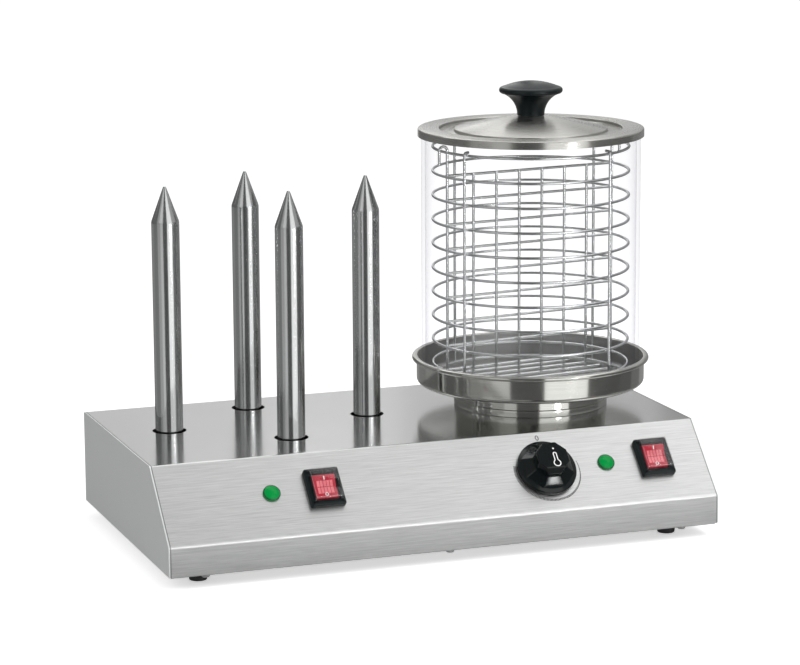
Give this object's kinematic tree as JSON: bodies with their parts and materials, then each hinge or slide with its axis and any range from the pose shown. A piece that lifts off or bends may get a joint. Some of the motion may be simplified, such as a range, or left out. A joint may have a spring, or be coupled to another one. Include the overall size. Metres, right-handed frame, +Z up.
{
  "type": "hot dog spike toaster",
  "caption": "Counter-top sausage warmer: wire basket in a lidded glass cylinder beside upright heated spikes for toasting rolls, on a sloping steel control case.",
  "frame": {"origin": "middle of the bounding box's footprint, on the surface that the feet stand on", "axes": "+X towards the glass cylinder's side, +Y to the back, +Z up"},
  "size_m": [0.5, 0.285, 0.3897],
  "materials": {
    "brushed_steel_case": "brushed",
    "spun_steel": "satin",
    "polished_steel": "polished",
    "bright_wire": "polished",
    "plain_steel": "satin",
    "aluminium_plate": "satin",
    "brass_bulb": "satin",
    "clear_glass": "clear",
    "gloss_black": "gloss",
    "black_plastic": "matte",
    "white_plastic": "matte",
    "red_plastic": "gloss",
    "green_plastic": "gloss",
    "clear_plastic": "clear",
    "foot_rubber": "matte"
  },
  "bodies": {
    "base": {"casing_shell": "brushed_steel_case", "side_panel_left": "brushed_steel_case", "side_panel_right": "brushed_steel_case", "base_plate": "plain_steel", "base_plate_screws": "plain_steel", "foot_screws": "plain_steel", "foot_nuts": "plain_steel", "spike_carrier": "plain_steel", "spike_nuts": "plain_steel", "neck_collar": "spun_steel", "neck_screws": "plain_steel", "water_pan": "spun_steel", "heating_plate": "aluminium_plate", "heating_element": "plain_steel", "heater_clamp_bar": "plain_steel", "heater_nut": "plain_steel", "safety_cutout": "black_plastic", "sensor_bulb": "brass_bulb", "capillary_tube": "brass_bulb", "thermostat_body": "black_plastic", "thermostat_screws": "plain_steel", "cable_gland": "black_plastic", "gland_nut": "black_plastic", "terminal_block": "white_plastic", "earth_stud": "brass_bulb", "rubber_foot_front_left": "foot_rubber", "rubber_foot_front_right": "foot_rubber", "rubber_foot_back_left": "foot_rubber", "rubber_foot_back_right": "foot_rubber", "toast_spike_left": "polished_steel", "spike_heater_left": "plain_steel", "toast_spike_front": "polished_steel", "spike_heater_front": "plain_steel", "toast_spike_back": "polished_steel", "spike_heater_back": "plain_steel", "toast_spike_right": "polished_steel", "spike_heater_right": "plain_steel", "switch_frame_left": "gloss_black", "switch_cover_left": "clear_plastic", "pilot_lens_left": "green_plastic", "pilot_lamp_body_left": "black_plastic", "switch_frame_right": "gloss_black", "switch_cover_right": "clear_plastic", "pilot_lens_right": "green_plastic", "pilot_lamp_body_right": "black_plastic"},
    "glass": {"glass_cylinder": "clear_glass"},
    "basket": {"basket_rings": "bright_wire", "basket_uprights": "bright_wire", "basket_divider": "bright_wire", "basket_hooks": "bright_wire", "basket_floor": "bright_wire"},
    "lid": {"lid_shell": "spun_steel", "lid_knob": "gloss_black", "lid_knob_screw": "plain_steel"},
    "control_knob": {"control_knob": "gloss_black", "thermostat_shaft": "plain_steel"},
    "switch_rocker_left": {"switch_rocker_left": "red_plastic"},
    "switch_rocker_right": {"switch_rocker_right": "red_plastic"}
  },
  "joints": [
    {"name": "glass_lift", "type": "slide", "parent": "base", "child": "glass", "axis": [0, 0, 1], "range_m": [0, 0.05]},
    {"name": "basket_lift", "type": "slide", "parent": "glass", "child": "basket", "axis": [0, 0, 1], "range_m": [0, 0.25]},
    {"name": "lid_lift", "type": "slide", "parent": "basket", "child": "lid", "axis": [0, 0, 1], "range_m": [0, 0.1]},
    {"name": "knob_turn", "type": "hinge", "parent": "base", "child": "control_knob", "pos_m": [0.0982, -0.11328, 0.06818], "axis": [0, 0.7115, -0.7027], "range_deg": [0, 280]},
    {"name": "rocker_left_tilt", "type": "hinge", "parent": "base", "child": "switch_rocker_left", "pos_m": [-0.105, -0.11294, 0.06938], "axis": [-1, 0, 0], "range_deg": [0, 18]},
    {"name": "rocker_right_tilt", "type": "hinge", "parent": "base", "child": "switch_rocker_right", "pos_m": [0.2003, -0.11294, 0.06938], "axis": [-1, 0, 0], "range_deg": [0, 18]}
  ]
}
